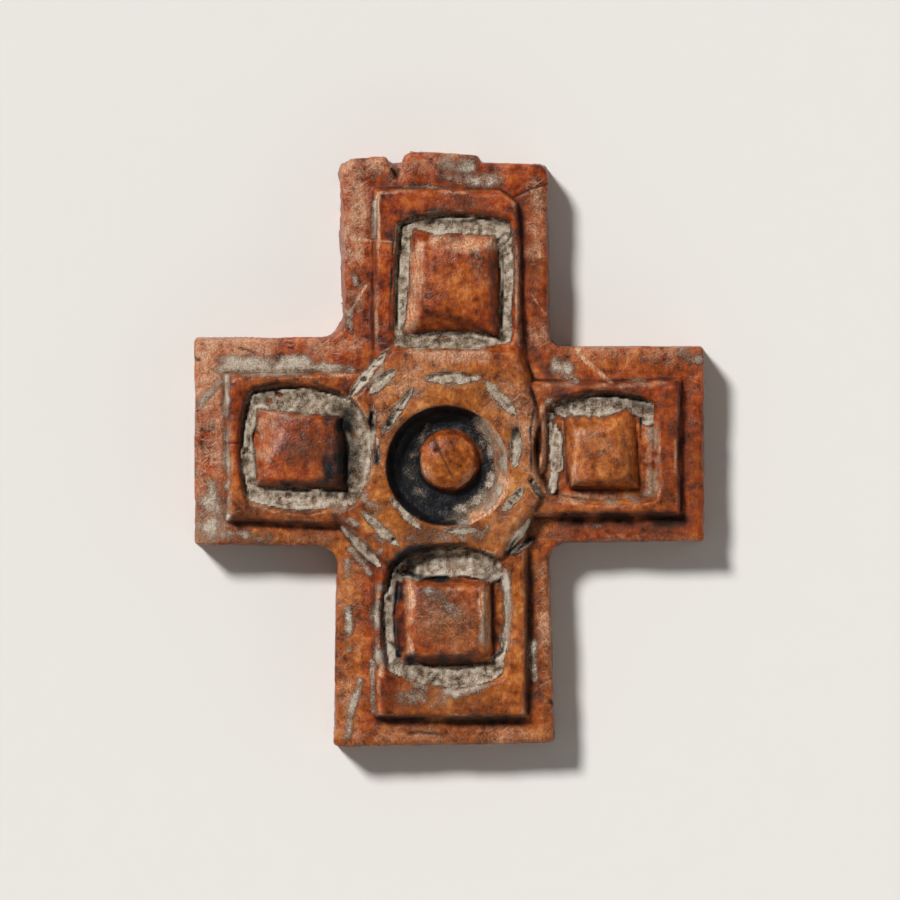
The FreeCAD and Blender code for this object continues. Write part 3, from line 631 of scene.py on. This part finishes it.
# %% Outline of the slab at one level
def slab_outline(inset, lean_share, notch_depth, per_corner=40, per_side=400):
    """Closed outline as points, with each side moved in by inset plus its lean, and arcs."""
    corners, radii, leans = [], [], []
    names = list(ARMS)
    for name, following in zip(names, names[1:] + names[:1]):
        arm, after = ARMS[name], ARMS[following]
        for across, back, radius in ENDS[name]:
            back = notch_depth if back is None else back
            corners.append(turned(arm["reach"] - back, across, arm["bearing"]))
            radii.append(radius)
            leans.append(WALL_LEAN)
        corners.append(meeting(*arm_side(arm, arm["left"], 1),
                               *arm_side(after, after["right"], -1)))
        radii.append(INNER_RADII[name])
        leans.append(WALL_LEAN)
    # the left side of the upper arm starts at that arm's last corner, and leans more
    leans[len(ENDS["right"]) + len(ENDS["upper"])] = CORNER_LEAN
    moved = []
    for i, corner in enumerate(corners):
        ahead = corners[(i + 1) % len(corners)] - corner
        normal = np.array([-ahead[1], ahead[0]]) / np.hypot(*ahead)
        shift = normal * (inset + lean_share * leans[i])
        moved.append((corner + shift, corner + ahead + shift))
    inner = [meeting(*moved[i - 1], *moved[i]) for i in range(len(moved))]
    arcs = []
    for i, corner in enumerate(inner):
        back = inner[i - 1] - corner
        ahead = inner[(i + 1) % len(inner)] - corner
        back, ahead = back / np.hypot(*back), ahead / np.hypot(*ahead)
        half = math.acos(np.clip(back @ ahead, -1, 1)) / 2
        middle = corner + (back + ahead) / np.hypot(*(back + ahead)) * radii[i] / math.sin(half)
        first = corner + back * radii[i] / math.tan(half)
        last = corner + ahead * radii[i] / math.tan(half)
        turn = np.linspace(0, 1, per_corner)[:, None]
        bend = (first - middle) * (1 - turn) + (last - middle) * turn
        arcs.append(middle + bend / np.hypot(bend[:, 0], bend[:, 1])[:, None] * radii[i])
    pieces = []
    for i, arc in enumerate(arcs):
        share = np.linspace(0, 1, per_side)[1:-1, None]
        pieces += [arc, arc[-1] * (1 - share) + arcs[(i + 1) % len(arcs)][0] * share]
    return np.vstack(pieces)


# level: height as a share of the ledge, drop in mm, inset, share of the lean, notch depth
LEVELS = ((1, 0, EDGE_WEAR, 1, 1.2), (1, 0.1, 0.1, 1, 1.3), (1, 0.3, 0.01, 1, 1.3),
          (0.72, 0, 0, 0.75, 1.35), (0.45, 0, 0, 0.5, 1.2), (0.2, 0, 0, 0.25, 1.0),
          (0.03, 0, 0, 0, 0.9), (0, 0, 0.1, 0, 0.9))
outlines = np.array([slab_outline(inset, lean, notch) for _, _, inset, lean, notch in LEVELS])
print("outline points on each of", len(LEVELS), "levels:", outlines.shape[1])


# %% Which grid points lie on the slab
def distance_inside(points, polygon):
    """Signed distance of points from a closed outline, above 0 inside it."""
    nearest = np.full(len(points), 1e9)
    inside = np.zeros(len(points), bool)
    for a, b in zip(polygon, np.roll(polygon, -1, axis=0)):
        ab, ap = b - a, points - a
        t = np.clip(ap @ ab / max(ab @ ab, 1e-12), 0, 1)
        gap = ap - t[:, None] * ab
        nearest = np.minimum(nearest, (gap ** 2).sum(axis=1))
        crosses = (a[1] > points[:, 1]) != (b[1] > points[:, 1])
        if a[1] != b[1]:
            inside ^= crosses & (points[:, 0] < a[0] + (points[:, 1] - a[1]) * ab[0] / ab[1])
    return np.sqrt(nearest) * np.where(inside, 1, -1)


rows, columns = grid_x.shape
points = np.stack([grid_x.ravel(), grid_y.ravel()], axis=1)
THINNING, RIM_GAP, TRIMS = 16, 0.4, 3    # outline points to skip, cells left out, trimming rounds
depth_in = distance_inside(points, outlines[0][::THINNING]).reshape(rows, columns)
kept = depth_in > RIM_GAP * STEP
cells = kept[:-1, :-1] & kept[1:, :-1] & kept[:-1, 1:] & kept[1:, 1:]
for _ in range(TRIMS):
    around = np.pad(cells, 1)
    firm = (around[:-2, 1:-1] | around[2:, 1:-1]) & (around[1:-1, :-2] | around[1:-1, 2:])
    cells &= firm
print("cells on the slab", int(cells.sum()))

# %% [markdown]
# ## One closed surface
# The kept cells of the grid become the carved face. Their outer points move onto the slab's
# outline, the wall runs down from them through the levels, and a coarser net of triangles closes
# the flat back. The object then is one watertight piece, as the bone is.

# %% Carved face
corner_ids = np.arange(rows * columns).reshape(rows, columns)
quads = np.stack([corner_ids[:-1, :-1][cells], corner_ids[:-1, 1:][cells],
                  corner_ids[1:, 1:][cells], corner_ids[1:, :-1][cells]], axis=1)
starts, ends = quads.ravel(), np.roll(quads, -1, axis=1).ravel()
outer = ~np.isin(starts * points.shape[0] + ends, ends * points.shape[0] + starts)
rim_start, rim_end = starts[outer], ends[outer]
used = np.unique(quads)
place = np.full(rows * columns, -1)
place[used] = np.arange(len(used))
rim = np.unique(rim_start)
rim_place = np.full(rows * columns, -1)
rim_place[rim] = np.arange(len(rim))
after = np.zeros(len(rim), int)
before = np.zeros(len(rim), int)
after[rim_place[rim_start]] = rim_place[rim_end]
before[rim_place[rim_end]] = rim_place[rim_start]
print(len(used), "points on the face,", len(rim), "on its rim")


# %% Rim points onto the outline
def nearest_on(outline, places):
    """Number of the outline point that is nearest to each place."""
    gap_x, gap_y = (places[:, None, axis] - outline[None, :, axis] for axis in (0, 1))
    return (gap_x ** 2 + gap_y ** 2).argmin(axis=1)


ROUNDS = 10                 # times that each rim point moves towards its neighbours' middle
rim_points = points[rim].copy()
for _ in range(ROUNDS):
    rim_points = 0.4 * rim_points + 0.3 * (rim_points[before] + rim_points[after])
    along = nearest_on(outlines[0], rim_points)
    rim_points = outlines[0][along]
print("rim points that share a place:", len(along) - len(np.unique(along)))

# %% Walls
rim_height = height.ravel()[rim]
ragged_rim = clouds((0.22, 51, 0.8), (0.12, 52, 0.25)).ravel()[rim]
ragged_rim = np.clip(0.25 + ragged_rim, 0, 0.7)
rings = []
for number, (share, drop, _, _, _) in enumerate(LEVELS):
    ring = outlines[number][along]
    if number:
        roughness = np.roll(ragged_rim, 7 * number) if number > 2 else ragged_rim
        ring = ring + (rim_points - ring) * (roughness * (1 if number < 3 else 0.5))[:, None]
    rings.append(np.column_stack([ring, rim_height * share - drop]))
print("wall rings", len(rings), "of", len(rim), "points")

# %% Flat back
BACK_STEP = 5               # the back takes every fifth grid point, for it is flat and plain
BACK_MARGIN = 0.55          # mm that it stays away from the rim
coarse = np.zeros((rows, columns), bool)
coarse[::BACK_STEP, ::BACK_STEP] = True
coarse = (coarse & (depth_in > BACK_MARGIN)).ravel()
inner = points[coarse]
loop = rings[-1][:, :2]
loop_outline = loop[np.argsort(along)]
net = delaunay_2d_cdt([tuple(p) for p in np.vstack([loop, inner]).tolist()],
                      list(zip(rim_place[rim_start].tolist(), rim_place[rim_end].tolist())),
                      [], 1, 1e-7, True)
source_of = np.array([ids[0] for ids in net[3]])
back_faces = source_of[np.array([face[::-1] for face in net[2]])]
back_points = np.vstack([loop, inner])
on_slab = distance_inside(back_points[back_faces].mean(axis=1), loop_outline) > 0
back_faces = back_faces[on_slab]
scoop = np.clip(0.03 + 0.03 * cloud(61, 2.5), 0, 0.09).ravel()[coarse]
print("triangles on the back", len(back_faces))

# %% The piece itself
MM_PER_METRE = 1000


def put(name, points, faces):
    """A mesh object in the scene, from points in metres and faces."""
    mesh = bpy.data.meshes.new(name)
    mesh.from_pydata(points.tolist(), [], faces)
    thing = bpy.data.objects.new(name, mesh)
    bpy.context.scene.collection.objects.link(thing)
    return thing


face_points = np.column_stack([points[used], height.ravel()[used]])
face_points[place[rim]] = rings[0]
vertices = np.vstack([face_points] + rings[1:] + [np.column_stack([inner, scoop])])
first, second = rim_place[rim_start], rim_place[rim_end]
upper_first, upper_second = place[rim_start], place[rim_end]
walls = []
base = len(used)
for _ in rings[1:]:
    lower_first, lower_second = base + first, base + second
    walls.append(np.stack([upper_first, lower_first, lower_second, upper_second], axis=1))
    upper_first, upper_second, last = lower_first, lower_second, base
    base += len(rim)
faces = place[quads].tolist() + np.vstack(walls).tolist() + (last + back_faces).tolist()
cross = put("cross_carving", vertices / MM_PER_METRE, faces)
mesh = cross.data
mesh.polygons.foreach_set("use_smooth", np.ones(len(mesh.polygons), bool))
triangles = sum(len(face) - 2 for face in faces)
print("points", len(vertices), "triangles", triangles, "mesh repaired:", mesh.validate())

# %% Looks onto the points
# the looks of the face run out down the walls, into what the plain back shows
PLAIN = {"worn": 0.25, "grime_and_shade": 0.12, "crest": 0.5}
for name, values in looks.items():
    on_face, on_rim = values.ravel()[used], values.ravel()[rim]
    plain = PLAIN.get(name, 0)
    on_walls = [on_rim * share + plain * (1 - share)
                for share in np.linspace(0.8, 0, len(LEVELS) - 1)]
    everywhere = np.concatenate([on_face] + on_walls + [np.full(len(inner), plain)])
    attribute = mesh.attributes.new(name, "FLOAT", "POINT")
    attribute.data.foreach_set("value", everywhere.astype(np.float32))
print("attributes", list(looks))

# %% [markdown]
# ## Bone, stained and polished by handling
# Compact bone has a fine grain along the shaft, and here it took up rust-red and golden stain.
# Long handling left it smooth with a soft gloss, pale and matt where it is rubbed. The soil is a
# dry beige dust with dark grains, and the ring channel is burnt nearly black. Some shade, shadow
# and highlight is painted into the colour too.


# %% Colours and nodes
def linear(hex_colour):
    """Hex sRGB colour as linear red, green, blue and 1."""
    parts = [int(hex_colour[i:i + 2], 16) / 255 for i in (1, 3, 5)]
    return [c / 12.92 if c <= 0.04045 else ((c + 0.055) / 1.055) ** 2.4 for c in parts] + [1]


def fill(tree, node, inputs):
    """Gives each named input of a node a value, or a link from another node's output."""
    for name, value in inputs.items():
        if isinstance(value, bpy.types.NodeSocket):
            tree.links.new(value, node.inputs[name])
        else:
            node.inputs[name].default_value = value


def per_metre(size_mm):
    """Texture scale at which one feature is about size_mm wide."""
    return MM_PER_METRE / size_mm


print("rust stain in linear light", [round(c, 3) for c in linear("#A84A14")])

# %% Bone material
bone = bpy.data.materials.new("bone_carved_stained_handled")
bone.use_nodes = True
tree = bone.node_tree
# What each word adds: a kind of node, the inputs that values fill, the output used, settings
WORDS = {
    "position": ("TexCoord", (), "Object", {}),
    "painted": ("Attribute", (), "Fac", {}),
    "stretch": ("Mapping", ("Vector", "Scale", "Rotation"), 0, {}),
    "noise": ("TexNoise", ("Vector", "Scale", "Detail", "Roughness"), "Fac", {}),
    "range": ("MapRange", (0, 1, 2, 3, 4), 0, {}),
    "shades": ("ValToRGB", (0,), 0, {}),
    "blend": ("Mix", (0, 6, 7), 2, {"data_type": "RGBA"}),
    "plus": ("Math", (0, 1), 0, {"operation": "ADD"}),
    "minus": ("Math", (0, 1), 0, {"operation": "SUBTRACT"}),
    "times": ("Math", (0, 1), 0, {"operation": "MULTIPLY"}),
    "most": ("Math", (0, 1), 0, {"operation": "MAXIMUM"}),
    "bump": ("Bump", ("Height", "Strength", "Distance"), 0, {}),
}


def add(word, *values, stops=(), **settings):
    """Adds one node to the bone, with its settings, links and colour stops. Returns its output."""
    kind, names, output, usual = WORDS[word]
    node = tree.nodes.new("ShaderNode" + kind)
    for name, value in {**usual, **settings}.items():
        setattr(node, name, value)
    fill(tree, node, dict(zip(names, values)))
    for _ in stops[2:]:
        node.color_ramp.elements.new(0.5)
    for number, (at, colour) in enumerate(stops):
        node.color_ramp.elements[number].position = at
        node.color_ramp.elements[number].color = linear(colour)
    return node.outputs[output]


def ragged_edge(name, noise, depth, low, high):
    """A painted amount whose border follows the noise instead of fading evenly."""
    shift = add("times", add("minus", noise, 0.5), depth)
    return add("range", add("plus", paint[name], shift), low, high)


def scratches(turn, size_mm, gap, drawn_out=9.0):
    """Fine pale lines in one direction, from noise that is drawn out along it."""
    along_it = add("stretch", position, (1.0, drawn_out, 2.5), (0, 0, turn), vector_type="TEXTURE")
    noise = add("noise", along_it, per_metre(size_mm), 3.0, 0.75)
    return add("range", noise, gap, gap + 0.16)


position = add("position")
paint = {name: add("painted", attribute_name=name) for name in looks}
# grain of the shaft runs along the upright: lines 0.05 mm wide, drawn at 0.2 mm to show
streaks = add("noise", add("stretch", position, (1.0, 0.2, 0.5)), per_metre(0.2), 3.0, 0.65)
fine = add("noise", position, per_metre(0.16), 2.0, 0.7)
dapple = add("noise", position, per_metre(0.8), 4.0, 0.68)
mottle = add("noise", position, per_metre(3.2), 3.0, 0.6)
# stain: rust red, golden where it is thin, brown where hands have darkened it; brown is also
# painted shade
tone = add("plus", add("times", mottle, 0.42), add("times", dapple, 0.42))
tone = add("range", add("plus", tone, add("times", streaks, 0.16)), 0.38, 0.62)
rust = add("shades", tone, stops=((0.0, "#3F1202"), (0.3, "#712701"), (0.65, "#973C05"),
                                  (1.0, "#B25B1D")))
golden = add("shades", tone, stops=((0.0, "#512508"), (0.35, "#894812"), (0.7, "#A96323"),
                                    (1.0, "#C68A4D")))
colour = add("blend", add("times", paint["gold"], 0.85), rust, golden)
brown = add("shades", fine, stops=((0.3, "#2A1206"), (0.7, "#6C3D1C")))
colour = add("blend", add("times", paint["brown_stain_and_shade"], 0.75), colour, brown)
# rubbed bone is pale in soft patches, with ragged borders, and so is the painted sheen on facets
# facing the lamp
scuff = add("noise", position, per_metre(1.3), 5.0, 0.78)
rubbing_and_sheen = add("range", add("plus", scuff, add("times", paint["worn"], 0.2)), 0.5, 0.74)
rubbing_and_sheen = add("times", rubbing_and_sheen, add("range", paint["worn"], 0.05, 0.6, 0.0, 0.8))
rubbed_and_sheen_colour = add("shades", add("plus", add("times", fine, 0.5), add("times", streaks, 0.5)),
             stops=((0.38, "#9C5C34"), (0.5, "#C08A66"), (0.62, "#E8C6A8")))
colour = add("blend", rubbing_and_sheen, colour, rubbed_and_sheen_colour)
# hair scratches of 0.02 mm, drawn at 0.13 and 0.2 mm to show
lines = add("most", scratches(0.65, 0.13, 0.57), scratches(-0.9, 0.13, 0.57))
lines = add("most", lines, scratches(1.5, 0.2, 0.56, 4.0))
lines = add("times", lines, add("range", paint["worn"], 0.0, 0.6, 0.05, 0.7))
colour = add("blend", lines, colour, linear("#E4BA94"))
# pale marks, with painted highlights on rims and on the ring's lit wall
colour = add("blend", ragged_edge("pale", scuff, 1.2, 0.3, 1.0), colour, rubbed_and_sheen_colour)
# pores of the bone are 0.05 mm, drawn at 0.16 mm and as breaks in the grain
pores = add("most", add("range", streaks, 0.6, 0.68), add("range", fine, 0.66, 0.74))
pore_share = add("times", pores, add("range", mottle, 0.35, 0.6, 0.25, 0.6))
colour = add("blend", pore_share, colour, linear("#2A1108"))
# soil and dust: beige grains, painted paler on their crests as light; grime and painted shade lie
# on the soil and under the dust
grains = add("noise", position, per_metre(0.13), 3.0, 0.75)
crumble = add("plus", add("times", grains, 0.6), add("times", scuff, 0.4))
earth = add("plus", add("times", crumble, 0.8), add("times", paint["crest"], 0.2))
earth = add("plus", earth, add("times", add("most", paint["dust"], paint["pale"]), 0.09))
earth = add("shades", earth, stops=((0.38, "#493D32"), (0.45, "#94806A"), (0.53, "#C6B098"),
                                    (0.64, "#EFE0CD")))
soil_cover = ragged_edge("soil", crumble, 1.4, 0.2, 0.65)
dust_cover = add("times", ragged_edge("dust", crumble, 2.2, 0.28, 0.85), 0.92)
all_soil = add("most", soil_cover, dust_cover)
colour = add("blend", soil_cover, colour, earth)
# grime and painted shade, near black
colour = add("blend", add("times", paint["grime_and_shade"], 0.92), colour, linear("#170B06"))
# burnt residue is nearly black, with a few grey flakes; the same black paints shadow under walls
# and facets
burnt_and_shadow_black = add("shades", crumble, stops=((0.4, "#040507"), (0.5, "#0D0E12"), (0.57, "#1D1E22"),
                                      (0.66, "#56524C")))
colour = add("blend", ragged_edge("soot_and_shadow", crumble, 1.8, 0.25, 0.8), colour, burnt_and_shadow_black)
colour = add("blend", dust_cover, colour, earth)
# handled bone has a soft gloss, rubbed bone less, and soil, grime and painted shade are matt
rough = add("plus", add("range", tone, 0.0, 1.0, 0.33, 0.42), add("times", rubbing_and_sheen, 0.12))
matt = add("most", all_soil, paint["grime_and_shade"])
rough = add("plus", rough, add("times", matt, 0.6), use_clamp=True)
relief = add("plus", add("times", fine, 0.5), add("times", dapple, 0.7))
relief = add("plus", relief, add("times", add("times", grains, all_soil), 4.0))
relief = add("minus", relief, add("times", add("plus", pores, lines), 0.35))
FINE_RELIEF = 0.09 / MM_PER_METRE       # metres
fill(tree, tree.nodes["Principled BSDF"], {
    "Base Color": colour, "Roughness": rough, "IOR": 1.54, "Specular IOR Level": 0.28,
    "Normal": add("bump", relief, 1.0, FINE_RELIEF)})
mesh.materials.append(bone)
print("bone material with", len(tree.nodes), "nodes")

# %% Hand the piece to the frame
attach(cross, "root")
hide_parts("bone_cross")
print("cross_carving stands for bone_cross")

# %% [markdown]
# ## Floor, light and camera
# The cross lies on a plain pale floor. One soft lamp stands up and to the left, so that every
# wall and facet reads, and the world fills the shadows. The camera looks straight down through a
# long lens, as in the picture.

# %% Floor and backdrop
FLOOR_HALF, FLOOR_DROP = 3.2, 1e-5      # metres; the drop keeps the floor off the back
card = bpy.data.materials.new("card_matt_pale")
card.use_nodes = True
fill(card.node_tree, card.node_tree.nodes["Principled BSDF"],
     {"Base Color": linear("#DEDBD6"), "Roughness": 0.9})
floor = put("floor", np.array([(x * FLOOR_HALF, y * FLOOR_HALF, -FLOOR_DROP)
                               for x, y in ((-1, -1), (1, -1), (1, 1), (-1, 1))]), [(0, 1, 2, 3)])
floor.data.materials.append(card)

# a low wall stands round the floor, far off, so that a view from the side ends in pale card too
WALL_RADIUS, WALL_HEIGHT, WALL_FOOT, WALL_SIDES = 3.0, 2.0, -0.01, 96
turn = np.linspace(0, 2 * math.pi, WALL_SIDES, endpoint=False)
circle = np.column_stack([np.cos(turn), np.sin(turn)]) * WALL_RADIUS
wall_points = np.vstack([np.column_stack([circle, np.full(WALL_SIDES, z)])
                         for z in (WALL_FOOT, WALL_HEIGHT)])
first = np.arange(WALL_SIDES)
second = np.roll(first, -1)
wall_faces = np.stack([second, first, first + WALL_SIDES, second + WALL_SIDES], axis=1)
backdrop = put("backdrop", wall_points, wall_faces.tolist())
backdrop.data.materials.append(card)
print("floor", 2 * FLOOR_HALF, "m wide, backdrop of", WALL_SIDES, "sides")

# %% World, lamp and camera
WORLD_FILL = 0.13
KEY_STRENGTH, KEY_WIDTH = 4.0, 11       # as wide as a large window, in degrees
KEY_DIRECTION = (-0.48, 0.53, 0.7)      # towards the lamp: up and to the left
LENS, SENSOR = 200, 36                  # mm
VIEW_WIDTH, FACE_HEIGHT = 0.075, 0.005  # metres across the picture, and up to the carved face
VIEW_MIDDLE = (0.000208, 0.000875)      # metres from the origin

scene = bpy.context.scene
world = bpy.data.worlds.new("soft_studio")
world.use_nodes = True
scene.world = world
fill(world.node_tree, world.node_tree.nodes["Background"],
     {"Color": linear("#FFFFFF"), "Strength": WORLD_FILL})

lamp = bpy.data.lights.new("soft_window", "SUN")
lamp.energy = KEY_STRENGTH
lamp.angle = math.radians(KEY_WIDTH)
lamp_object = bpy.data.objects.new("soft_window", lamp)
lamp_object.location = KEY_DIRECTION
lamp_object.rotation_euler = lamp_object.location.to_track_quat("Z", "Y").to_euler()
scene.collection.objects.link(lamp_object)

camera = bpy.data.cameras.new("camera")
camera.lens = LENS
camera.sensor_width = SENSOR
camera.clip_start = 0.01
camera_object = bpy.data.objects.new("camera", camera)
camera_object.location = (*VIEW_MIDDLE, FACE_HEIGHT + VIEW_WIDTH * LENS / SENSOR)
scene.collection.objects.link(camera_object)
scene.camera = camera_object
scene.view_settings.view_transform = "Standard"
print("camera at", [round(c, 3) for c in camera_object.location])
